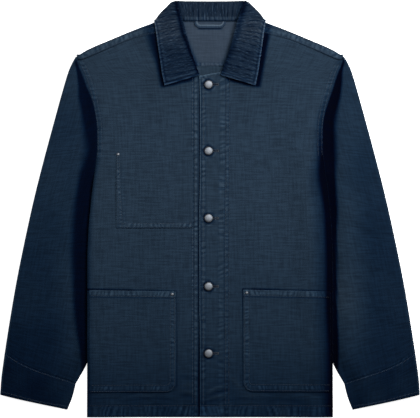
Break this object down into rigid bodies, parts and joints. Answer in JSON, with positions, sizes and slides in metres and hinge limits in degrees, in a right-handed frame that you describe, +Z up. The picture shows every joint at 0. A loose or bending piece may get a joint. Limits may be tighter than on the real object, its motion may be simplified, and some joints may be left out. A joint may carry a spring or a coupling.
{
  "type": "chore jacket",
  "caption": "Chore jacket laid flat, front up: navy canvas body and sleeves, corduroy collar, patch pockets and a front closed with metal tack buttons.",
  "frame": {"origin": "centre of the outline, on the surface that the jacket lies on", "axes": "+X the wearer's left, +Y towards the collar, +Z up from the surface"},
  "size_m": [0.7972, 0.7904, 0.0214],
  "materials": {
    "canvas": "garment-washed navy cotton canvas, matt, seams puckered and worn lighter",
    "facing": "the canvas's paler inner side",
    "corduroy": "dark navy corduroy with fine wales, edge worn paler",
    "gunmetal": "satin gunmetal with a dark rim"
  },
  "bodies": {
    "root": {"back": "canvas", "back_facing": "facing", "front_left": "canvas", "front_right": "canvas", "sleeve_left": "canvas", "sleeve_right": "canvas", "cuff_left": "canvas", "cuff_right": "canvas", "collar": "corduroy", "hanger_loop": "canvas", "chest_pocket": "canvas", "pocket_left": "canvas", "pocket_right": "canvas", "button_1": "gunmetal", "button_2": "gunmetal", "button_3": "gunmetal", "button_4": "gunmetal", "button_5": "gunmetal", "rivet_chest": "gunmetal", "rivet_left": "gunmetal", "rivet_right": "gunmetal"}
  },
  "joints": []
}
